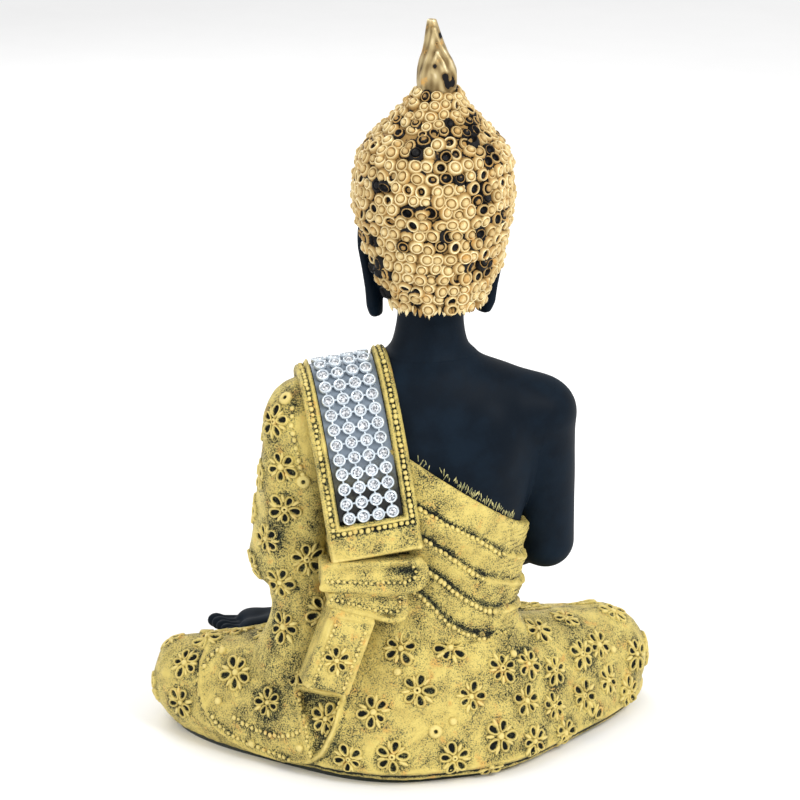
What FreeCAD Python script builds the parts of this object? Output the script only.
"""Seated meditating figure in cold-cast resin, with a rhinestone-trimmed sash over its left shoulder.

Frame: millimetres, +Z up. The figure faces -Y and its own left is +X. The origin is the centre of the bounding
box at the resting face. Every casting is cut back from its neighbours by a glue gap, and castings that carry
load are located by a round tenon in a socket. Curls, flowers, beads and creases are surface relief and are left
off this functional model.
"""

import FreeCAD, Part
import math
import os

V = FreeCAD.Vector

# ---- Driving dimensions, mm ----
HEIGHT = 236.2  # resting face to flame tip
KNEE_HALF_SPAN = 82.3  # centre to either knee
BACK_Y = 50.0  # rearmost point of the robe
FRONT_Y = -50.2
GLUE_GAP = 0.15  # between two castings
TENON_GAP = 0.1  # radial, between a tenon and its socket
FELT = 1.0  # felt pad under the base
WAIST_Z = 42.0  # top of the lower casting
NECK_Z = 131.0  # top of the torso casting
HEAD_X = -6.5  # the head sits a little to the figure's right of the base centre
FLAME_Z = 215.0  # where the flame stands on the hair
WRAP = 2.6  # thickness of the moulded robe on the torso
WRAP_EDGE_Z = 100.2  # its top edge on the centre line
WRAP_EDGE_SLOPE = 0.70  # rise of that edge towards the left shoulder
SASH_X = 23.0  # centre line where the sash crosses the shoulder
SASH_TOP_Z = 131.5
SASH_HEM_Z = 73.0
SASH_TILT = 8.0  # degrees, so that it runs down towards the spine
SASH_WIDTH = 29.0
TRIM_WIDTH = 20.5  # recess for the rhinestone trim
TRIM_DEPTH = 2.2
TRIM_END_Z = 84.5  # lower end of the recess, at the back and at the front
STONE_PITCH = 4.6
STONE_COLUMNS = 4
CUP_RADIUS = 1.95
CUP_HEIGHT = 1.5
STONE_RADIUS = 1.42
NET_THICKNESS = 0.5
PLUG_RADIUS = 14.0
WAIST_TENON = 12.0  # tenon radii
NECK_TENON = 7.0
SHOULDER_TENON = 5.0
FOOT_TENON = 3.5
FLAME_TENON = 3.0
HAND_TENON = 2.6

WAIST_CENTRE = (-3.2, 16.5)
NECK_CENTRE = (-5.1, 12.8)
SHOULDER = (-40.2, 13, 109)
ELBOW = (-44.6, 4, 64.4)
RIGHT_WRIST = (-15, -28, 45.2)
LEFT_WRIST = (19, -26.5, 39.5)
FOOT_PEG = (40, -24)
PLUG_Y = 8.0
FLAME_X = HEAD_X - 0.8
FLAME_Y = 11.5


# ---- Shape helpers ----
def smooth_loop(points):
    """Closed smooth wire through the points."""
    curve = Part.BSplineCurve()
    curve.interpolate(points, PeriodicFlag=True)
    return Part.Wire(curve.toShape())


def oval(x, y, z, rx, ry, turn=0.0, count=12):
    """Smooth oval round (x, y) at height z. All start on the same side, so that lofts don't twist."""
    ct, st = math.cos(math.radians(turn)), math.sin(math.radians(turn))
    points = []
    for i in range(count):
        a = 2 * math.pi * i / count
        px, py = rx * math.cos(a), ry * math.sin(a)
        points.append(V(x + px * ct - py * st, y + px * st + py * ct, z))
    return smooth_loop(points)


def stack(sections, grow=0.0):
    """Solid lofted through ovals (z, x, y, rx, ry[, turn]), each radius larger by grow."""
    wires = []
    for z, x, y, rx, ry, *turn in sections:
        wires.append(oval(x, y, z, rx + grow, ry + grow, *turn))
    return Part.makeLoft(wires, True, False)


def round_cone(p, rp, q, rq):
    """Solid of revolution from a ball of radius rp at p to a ball of radius rq at q."""
    p, q = V(*p), V(*q)
    length = (q - p).Length
    lean = math.asin((rp - rq) / length)
    c, s = math.cos(lean), math.sin(lean)
    start, end = V(0, 0, -rp), V(0, 0, length + rq)
    low, high = V(rp * c, 0, rp * s), V(rq * c, 0, length + rq * s)
    below = (lean - math.pi / 2) / 2
    above = (lean + math.pi / 2) / 2
    low_mid = V(rp * math.cos(below), 0, rp * math.sin(below))
    high_mid = V(rq * math.cos(above), 0, length + rq * math.sin(above))
    edges = [
        Part.Arc(start, low_mid, low).toShape(),
        Part.LineSegment(low, high).toShape(),
        Part.Arc(high, high_mid, end).toShape(),
        Part.LineSegment(end, start).toShape(),
    ]
    solid = Part.Face(Part.Wire(edges)).revolve(V(0, 0, 0), V(0, 0, 1), 360)
    if solid.ShapeType != "Solid":
        solid = Part.makeSolid(Part.makeShell(solid.Faces))
    solid.Placement = FreeCAD.Placement(p, FreeCAD.Rotation(V(0, 0, 1), q - p))
    return solid


def peg(p, direction, radius, length):
    """Round bar from p along direction."""
    return Part.makeCylinder(radius, length, V(*p), V(*direction))


def fuse(shapes):
    """One solid from overlapping shapes."""
    whole = shapes[0].fuse(shapes[1:]) if len(shapes) > 1 else shapes[0]
    return whole.removeSplitter()


def main_solid(shape):
    """The largest solid of a shape: slivers that a cut leaves behind are dropped."""
    return max(shape.Solids, key=lambda s: s.Volume)


def slab(z0, z1):
    """Wide block between two heights, for trimming."""
    return Part.makeBox(400, 400, z1 - z0, V(-200, -200, z0))


# ---- Lower casting: crossed legs under the robe ----
def plan_loop(z, reach, back, front, shift=0.0):
    """Outline of the robe's spread in plan, knee to knee. Its width, back and front are scaled apart."""
    k, middle_y = KNEE_HALF_SPAN, 5.0
    b, f = (BACK_Y - middle_y) * back, (FRONT_Y - middle_y) * front
    half = [
        (0.32 * k, 0.88 * b),
        (0.60 * k, 0.48 * b),
        (0.85 * k, 0.05 * b),
        (0.99 * k, 0.46 * f),
        (0.80 * k, 0.82 * f),
        (0.40 * k, 0.97 * f),
    ]
    other = [(-x, y) for x, y in reversed(half)]
    points = [(0, b)] + half + [(0, f)] + other
    return smooth_loop([V(x * reach + shift, middle_y + y, z) for x, y in points])


def robe_spread():
    """Robe spread round the crossed legs, undercut at the resting face and lower in front."""
    levels = [
        (FELT, 0.95, 0.955, 0.95, -2.0),
        (4, 0.98, 0.995, 1.0, -1.4),
        (10, 1.00, 1.0, 0.98, -0.5),
        (18, 0.98, 0.965, 0.88, 0.0),
        (26, 0.86, 0.87, 0.70, 0.0),
        (32, 0.66, 0.70, 0.48, 0.0),
    ]
    return Part.makeLoft([plan_loop(*level) for level in levels], True, False)


def hips():
    return stack(
        [
            (10, 0, 10, 44, 36),
            (20, -0.5, 11, 43, 36),
            (30, -1.5, 13, 39, 30.5),
            (37, -2.6, 15, 34.5, 24),
            (WAIST_Z, -3.2, 16.2, 31, 19.5),
        ]
    )


def legs():
    """Thighs and crossed shins: left shin underneath, right shin on top."""
    left_knee = (KNEE_HALF_SPAN - 14.8, -12, 15.6)
    right_knee = (17.0 - KNEE_HALF_SPAN, -13, 16.5)
    return [
        round_cone((20, 20, 21.8), 20.2, left_knee, 14.8),
        round_cone((55, -7, 18.4), 11.2, (71.4, -12, 20.8), 9.8),
        round_cone((-20, 20, 22.4), 20.5, right_knee, 17.2),
        round_cone((61.5, -18, 14.8), 13.2, (-8, -37, 14), 11.8),
        round_cone((-60.6, -18, 16.2), 15.2, (10, -35, 20), 11.5),
    ]


def lower_casting():
    whole = fuse([robe_spread(), hips()] + legs())
    whole = whole.cut([slab(-50, FELT), slab(WAIST_Z, 80)])
    x, y = WAIST_CENTRE
    hollow = stack([(7, 0, PLUG_Y, 30, 24), (16, -1, 10, 27, 21), (24, -2, 13, 18, 13)])
    pour_hole = peg((0, PLUG_Y, FELT - 1), (0, 0, 1), PLUG_RADIUS + TENON_GAP, 8)
    waist_socket = peg((x, y, WAIST_Z - 10), (0, 0, 1), WAIST_TENON + TENON_GAP, 12)
    foot_socket = peg((*FOOT_PEG, 17), (0, 0, 1), FOOT_TENON + TENON_GAP, 20)
    return main_solid(whole.cut([hollow, pour_hole, waist_socket, foot_socket]))


def base_plug():
    """Rubber plug in the pour hole, its lower edge chamfered."""
    plug = Part.makeCylinder(PLUG_RADIUS, 5.0, V(0, PLUG_Y, FELT))
    rim = [e for e in plug.Edges if e.BoundBox.ZMax < FELT + 0.1]
    return plug.makeChamfer(0.6, rim)


def felt_pad():
    """Felt glued under the base, cut a little inside the resting face."""
    outline = Part.Face(plan_loop(0, 0.91, 0.89, 0.89))
    return outline.extrude(V(0, 0, FELT))


# ---- Torso and the robe round it ----
def torso(grow=0.0):
    return stack(
        [
            (WAIST_Z + GLUE_GAP, -3.2, 16.5, 28.0, 16.6),
            (54, -3.5, 16.5, 27.4, 15.8),
            (66, -3.7, 16.0, 28.4, 16.5),
            (78, -3.8, 15.4, 30.8, 17.8),
            (90, -4.1, 14.6, 34.2, 19.0),
            (102, -4.3, 13.8, 37.6, 19.3),
            (112, -4.5, 13.4, 38.8, 18.0),
            (120, -4.8, 13.3, 34.8, 15.6),
            (126, -5.0, 13.0, 23.5, 13.2),
            (NECK_Z, *NECK_CENTRE, 13.6, 11.6),
        ],
        grow,
    )


def above_wrap_edge():
    """Everything over the robe's top edge: high at the left shoulder, low under the right arm."""
    block = Part.makeBox(400, 400, 200, V(-200, -200, WRAP_EDGE_Z))
    angle = math.degrees(math.atan(WRAP_EDGE_SLOPE))
    block.rotate(V(0, 0, WRAP_EDGE_Z), V(0, 1, 0), -angle)
    return block


def wrapped_torso():
    """Space taken by the torso and its robe, with the glue gap."""
    bare = torso(GLUE_GAP)
    robe = torso(WRAP + GLUE_GAP).cut([above_wrap_edge(), slab(119, 200)])
    return [bare, robe]


def torso_casting():
    x, y = WAIST_CENTRE
    waist_tenon = peg((x, y, WAIST_Z - 9.5), (0, 0, 1), WAIST_TENON, 14)
    neck_socket = peg((*NECK_CENTRE, NECK_Z - 11), (0, 0, 1), NECK_TENON + TENON_GAP, 12)
    arm_socket = peg((-29, 13, 108), (-1, 0, 0), SHOULDER_TENON + TENON_GAP, 20)
    body = fuse([torso(), waist_tenon])
    return main_solid(body.cut([neck_socket, arm_socket]))


def wrap_casting():
    """Robe round the torso, bare above the slanting edge."""
    robe = torso(WRAP).cut([torso(GLUE_GAP), above_wrap_edge(), slab(118, 200)])
    return main_solid(robe.cut(slab(0, WAIST_Z + GLUE_GAP)))


# ---- Head ----
def skull(grow=0.0):
    x = HEAD_X
    return stack(
        [
            (139.5, x, -1, 7.5, 8.5),
            (146, x, 2.5, 13.2, 14.5),
            (153, x, 5, 17.0, 18.5),
            (162, x, 7.2, 19.8, 21.3),
            (172, x, 8.8, 21.4, 22.8),
            (182, x, 9.8, 21.8, 22.8),
            (191, x, 10.4, 20.2, 20.4),
            (198, x, 11, 15.5, 16.0),
            (202, x, 11, 8.0, 8.5),
        ],
        grow,
    )


def ear(side):
    """Long-lobed ear, its plate turned out from the head."""
    turn = -28 * side
    return stack(
        [
            (141.5, HEAD_X + side * 16.8, 4.2, 1.7, 3.0, turn),
            (146, HEAD_X + side * 17.4, 4.4, 2.2, 4.0, turn),
            (153, HEAD_X + side * 17.8, 4.8, 2.0, 4.2, turn),
            (161, HEAD_X + side * 19.0, 5.2, 2.1, 5.2, turn),
            (168, HEAD_X + side * 19.9, 5.4, 2.2, 5.6, turn),
            (172.5, HEAD_X + side * 19.9, 5.0, 1.5, 3.6, turn),
        ]
    )


def nose():
    """Straight nose from the brow to the tip."""
    return round_cone((HEAD_X, -12.2, 172), 2.2, (HEAD_X, -15.4, 160.5), 2.9)


def head_casting():
    neck = stack(
        [
            (NECK_Z + GLUE_GAP, *NECK_CENTRE, 13.4, 11.4),
            (135, -5.2, 12.6, 11.6, 10.7),
            (140, -5.4, 12.0, 10.5, 10.4),
            (152, HEAD_X, 11.0, 11.5, 12.0),
        ]
    )
    tenon = peg((*NECK_CENTRE, NECK_Z - 10.5), (0, 0, 1), NECK_TENON, 14)
    return main_solid(fuse([skull(), neck, tenon, ear(1), ear(-1), nose()]))


def hair_outer():
    x = HEAD_X
    return stack(
        [
            (146, x, 10, 15.0, 20.0),
            (153, x, 9, 18.6, 22.6),
            (162, x, 9, 21.6, 24.8),
            (172, x, 9.5, 23.8, 25.8),
            (182, x, 10.2, 24.7, 25.8),
            (191, x, 10.6, 24.0, 24.4),
            (197, x, 11.0, 21.8, 22.0),
            (202, x - 0.2, 11.2, 17.4, 17.4),
            (207, x - 0.4, 11.4, 12.6, 12.4),
            (211, x - 0.6, FLAME_Y, 9.2, 9.2),
            (FLAME_Z, FLAME_X, FLAME_Y, 6.6, 6.6),
        ]
    )


def face_window():
    """Everything in front of and below the hairline, as one block across the head."""
    outline = [
        (-40, 188),
        (-9, 188),
        (-2, 183),
        (0, 176),
        (9, 173.5),
        (12.5, 165),
        (14, 155),
        (19, 148.5),
        (60, 148.5),
        (60, 110),
        (-40, 110),
    ]
    corners = [V(-100, y, z) for y, z in outline]
    return Part.Face(Part.makePolygon(corners + corners[:1])).extrude(V(200, 0, 0))


def hair_casting():
    socket = peg((FLAME_X, FLAME_Y, FLAME_Z - 8), (0, 0, 1), FLAME_TENON + TENON_GAP, 10)
    return main_solid(hair_outer().cut([skull(GLUE_GAP), face_window(), ear(1), ear(-1), socket]))


def flame_casting():
    x, y = FLAME_X, FLAME_Y
    flame = stack(
        [
            (FLAME_Z + GLUE_GAP, x, y, 6.2, 6.2),
            (219, x, y, 6.0, 6.0),
            (222.5, x + 0.3, y, 5.5, 5.5),
            (226, x + 0.6, y, 4.2, 4.3),
            (229.7, x + 1.0, y, 3.1, 3.2),
            (233.4, x + 1.4, y, 2.3, 2.4),
            (HEIGHT, x + 1.6, y, 1.1, 1.1),
        ]
    )
    tenon = peg((x, y, FLAME_Z - 7.5), (0, 0, 1), FLAME_TENON, 10)
    return main_solid(fuse([flame, tenon]))


# ---- Limbs ----
def right_arm_casting():
    """Bare arm, bent at the elbow with its hand in the lap, glued to the shoulder."""
    upper = round_cone(SHOULDER, 11.5, ELBOW, 9.2)
    fore = round_cone((-44, 3.4, 65.6), 8.0, RIGHT_WRIST, 4.5)
    bare = main_solid(fuse([upper, fore]).cut(wrapped_torso()))
    tenon = peg((-30, 13, 108), (-1, 0, 0), SHOULDER_TENON, 14)
    x, y, z = RIGHT_WRIST
    socket = peg((x - 4, y, z), (1, 0, 0), HAND_TENON + TENON_GAP, 12)
    return main_solid(fuse([bare, tenon]).cut(socket))


def hand(side):
    """Hand with its wrist at the origin, fingers up +Z, palm facing -Y, thumb towards side * X."""
    palm = stack(
        [
            (-1.5, 0, 0, 4.2, 3.6),
            (5, side * 0.4, -0.5, 6.2, 3.7),
            (11, side * 0.2, -0.8, 7.8, 3.3),
            (16.5, 0, -0.8, 7.6, 2.4),
        ]
    )
    parts = [palm]
    for finger, length in enumerate((9.5, 12.5, 13.5, 12.0)):
        x = side * (-5.7 + 3.8 * finger)
        parts.append(round_cone((x, -0.8, 15), 1.8, (1.06 * x, -1.6, 15 + length), 1.5))
    parts.append(round_cone((side * 4.5, -2, 5), 2.8, (side * 10.5, -3.5, 14.5), 1.9))
    return fuse(parts)


def right_hand_casting(arm):
    """Lying palm up on the left hand, fingers to the figure's left, thumb forward."""
    x, y, z = RIGHT_WRIST
    lying = hand(1)
    turn = FreeCAD.Rotation(V(0, -1, 0), V(0, 0, -1), V(1, 0, 0), "ZXY")
    lying.Placement = FreeCAD.Placement(V(x + 2, y, z), turn)
    tenon = peg((x - 3, y, z), (1, 0, 0), HAND_TENON, 8)
    return main_solid(fuse([main_solid(lying.cut(arm)), tenon]))


def left_hand_casting(blockers):
    """Lying in the lap, palm up, fingers to the figure's right."""
    lying = hand(-1)
    turn = FreeCAD.Rotation(V(0, 1, 0), V(0, 0, -1), V(-1, 0, 0), "ZXY")
    lying.Placement = FreeCAD.Placement(V(*LEFT_WRIST), turn)
    return main_solid(lying.cut(blockers))


def right_foot_casting(lower):
    """Upturned sole on the left thigh, toes outward."""
    parts = [
        round_cone((12, -31, 26), 7.0, (31, -26.5, 27.0), 6.0),
        round_cone((29, -28.6, 27.5), 5.6, (49, -28.6, 27.3), 5.0),
        round_cone((29, -24.6, 28.0), 5.6, (49, -21.2, 27.4), 4.6),
    ]
    for toe in range(5):
        start = (50, -30.6 + 2.6 * toe, 27.4)
        end = (60.5 - 0.9 * toe, -31.2 + 2.7 * toe, 27.6)
        parts.append(round_cone(start, 2.6 - 0.15 * toe, end, 2.3 - 0.2 * toe))
    tenon = peg((*FOOT_PEG, 17.5), (0, 0, 1), FOOT_TENON, 10)
    body = main_solid(fuse(parts).cut(lower))
    return main_solid(fuse([body, tenon]))


# ---- Robe over the left arm ----
def sleeve_casting(blockers):
    elbow = (38.2, 9, 66)
    parts = [
        round_cone((33.0, 13, 109), 14.2, elbow, 13.2),
        round_cone(elbow, 13.2, (20, -19, 43.5), 8.6),
        round_cone((36.5, 12, 62), 11.0, (33, 14, 42), 10.0),
    ]
    return main_solid(fuse(parts).cut(blockers))


# ---- Sash with its rhinestone trim ----
SASH_MIDDLE = V(0, 14, 96)  # a point inside the shoulder, seen from the side


def sash_profile():
    """Side outline (y, z) of the sash's outer face, from the back hem over the shoulder to the front hem."""
    return [
        (39.6, SASH_HEM_Z),
        (39.2, 84),
        (38.3, 95),
        (35.8, 106),
        (31.0, 117),
        (23.0, 127),
        (13.0, SASH_TOP_Z),
        (3.5, 128.5),
        (-4.0, 120),
        (-8.8, 108),
        (-10.8, 96),
        (-10.8, 84),
        (-10.0, SASH_HEM_Z),
    ]


def sash_curve(inset, x):
    """Smooth curve at the given depth under the sash's outer face."""
    outer = sash_profile()
    points = []
    for i, (y, z) in enumerate(outer):
        before, after = outer[max(i - 1, 0)], outer[min(i + 1, len(outer) - 1)]
        along = V(0, after[0] - before[0], after[1] - before[1]).normalize()
        inward = V(0, -along.z, along.y)
        if inward.dot(SASH_MIDDLE - V(0, y, z)) < 0:
            inward = inward * -1
        points.append(V(x, y + inset * inward.y, z + inset * inward.z))
    curve = Part.BSplineCurve()
    curve.interpolate(points)
    return curve


def tilt_sash(shape):
    """Leans a shape about the sash's shoulder crossing."""
    shape = shape.copy()
    shape.rotate(V(SASH_X, 0, SASH_TOP_Z), V(0, 1, 0), SASH_TILT)
    return shape


def sash_body():
    """Sash filled right down to the middle of the shoulder, not yet cut from the torso."""
    x0 = SASH_X - SASH_WIDTH / 2
    curve = sash_curve(0, x0)
    hem = Part.LineSegment(curve.EndPoint, curve.StartPoint)
    face = Part.Face(Part.Wire([curve.toShape(), hem.toShape()]))
    return tilt_sash(face.extrude(V(SASH_WIDTH, 0, 0)))


def sash_band(width, inset, depth):
    """Curved band whose faces follow the sash, from inset to inset + depth under its outer face."""
    x0 = SASH_X - width / 2
    outer = sash_curve(inset, x0)
    inner = sash_curve(inset + depth, x0)
    edges = [
        outer.toShape(),
        Part.LineSegment(outer.EndPoint, inner.EndPoint).toShape(),
        inner.toShape(),
        Part.LineSegment(inner.StartPoint, outer.StartPoint).toShape(),
    ]
    face = Part.Face(Part.Wire(Part.__sortEdges__(edges)))
    return tilt_sash(face.extrude(V(width, 0, 0)))


def sash_casting(blockers):
    recess = sash_band(TRIM_WIDTH, -0.5, TRIM_DEPTH + 0.5).cut(slab(60, TRIM_END_Z))
    return main_solid(sash_body().cut(blockers + [recess]))


def trim_rows():
    """Seat and outward normal of each rhinestone row, from the lower end at the back to the front."""
    curve = sash_curve(TRIM_DEPTH - NET_THICKNESS, SASH_X)
    end = TRIM_END_Z + 2.1
    rows = []
    step = 0
    while step * STONE_PITCH < curve.length():
        at = curve.parameterAtDistance(step * STONE_PITCH)
        point, along = curve.value(at), curve.tangent(at)[0]
        normal = V(0, along.z, -along.y)
        if normal.dot(point - V(SASH_X, SASH_MIDDLE.y, SASH_MIDDLE.z)) < 0:
            normal = normal * -1
        if point.z > end:
            rows.append((point, normal))
        step += 1
    return rows


def trim_net():
    """Silver plastic net of cups and links, and the stones set in the cups."""
    cups, links, stones = [], [], []
    for point, normal in trim_rows():
        for column in range(STONE_COLUMNS):
            side = (column - (STONE_COLUMNS - 1) / 2) * STONE_PITCH
            place = V(SASH_X + side, point.y, point.z)
            seat = place + normal * (CUP_HEIGHT - 1.1)
            cup = Part.makeCylinder(CUP_RADIUS, CUP_HEIGHT, place, normal)
            cups.append(cup.cut(Part.makeCylinder(STONE_RADIUS + 0.03, 2, seat, normal)))
            girdle = Part.makeCylinder(STONE_RADIUS, 0.6, seat, normal)
            crown = Part.makeCone(
                STONE_RADIUS, STONE_RADIUS * 0.6, 0.7, seat + normal * 0.6, normal
            )
            stones.append(fuse([girdle, crown]))
            if column:
                gap = STONE_PITCH - 2 * CUP_RADIUS
                start = V(place.x - CUP_RADIUS - gap + 0.02, place.y, place.z) + normal * 0.35
                links.append(Part.makeCylinder(0.3, gap - 0.04, start, V(1, 0, 0)))
    return [tilt_sash(Part.makeCompound(group)) for group in (cups, links, stones)]


def adhesive_strip():
    """Film of clear adhesive under the net."""
    film = sash_band(TRIM_WIDTH - 1.0, TRIM_DEPTH - 0.32, 0.27)
    return main_solid(film.cut(slab(60, TRIM_END_Z + 0.5)))


# ---- Folded tail of the sash, behind ----
def fold_plate(corners, y, thickness, lean=0.0):
    """Flat cast fold: corners (x, z), its outer face at y, its foot leaning outward."""
    wire = Part.makePolygon([V(x, y - thickness, z) for x, z in corners + corners[:1]])
    plate = Part.Face(wire).extrude(V(0, thickness, 0))
    top = max(z for _, z in corners)
    plate.rotate(V(0, y - thickness, top), V(1, 0, 0), lean)
    return plate.makeFillet(0.8, plate.Edges)


def tail_castings(blockers):
    """Two folds under the sash's hem and the hanging end, each cut from those above it."""
    plates = {
        "sash_fold_upper": fold_plate([(0.8, 63.5), (32.6, 64), (32.6, 72.8), (0.8, 72.8)], 41.5, 10.0),
        "sash_fold_lower": fold_plate([(6.5, 54), (30.5, 58.5), (30.5, 63.3), (6.5, 63.3)], 42.0, 11.0),
        "sash_tail": fold_plate([(25.4, 28.5), (39.5, 32.5), (29.5, 57.5), (15.4, 54)], 42.5, 14.0, 9),
    }
    shapes = {}
    for name, plate in plates.items():
        shapes[name] = main_solid(plate.cut(blockers))
        blockers = blockers + [plate]
    return shapes


# ---- Assembly ----
def build():
    lower = lower_casting()
    trunk = wrapped_torso()
    head = head_casting()
    arm = right_arm_casting()
    right_hand = right_hand_casting(arm)
    sleeve = sleeve_casting(trunk + [lower])
    sash = sash_casting(trunk + [sleeve, head])
    cups, links, stones = trim_net()
    parts = {
        "felt_base_pad": felt_pad(),
        "base_plug": base_plug(),
        "lower_robe_and_legs": lower,
        "torso": torso_casting(),
        "torso_wrap": wrap_casting(),
        "head": head,
        "hair_cap": hair_casting(),
        "flame_finial": flame_casting(),
        "right_arm": arm,
        "right_hand": right_hand,
        "left_sleeve": sleeve,
        "left_hand": left_hand_casting([sleeve, lower, right_hand]),
        "right_foot": right_foot_casting(lower),
        "shoulder_sash": sash,
        "trim_adhesive": adhesive_strip(),
        "trim_cups": cups,
        "trim_links": links,
        "trim_stones": stones,
    }
    parts.update(tail_castings(trunk + [lower, sleeve, sash]))
    return parts


os.makedirs("parts", exist_ok=True)
for old in os.listdir("parts"):
    os.remove(os.path.join("parts", old))
for node, shape in build().items():
    shape.exportStep(f"parts/{node}.step")
    box = shape.optimalBoundingBox(False, False)
    print(f"{node:22s} solids {len(shape.Solids):3d}  valid {shape.isValid()}  {shape.Volume / 1000:8.2f} cm3")
    print(f"    x {box.XMin:.1f}..{box.XMax:.1f}  y {box.YMin:.1f}..{box.YMax:.1f}  z {box.ZMin:.1f}..{box.ZMax:.1f}")
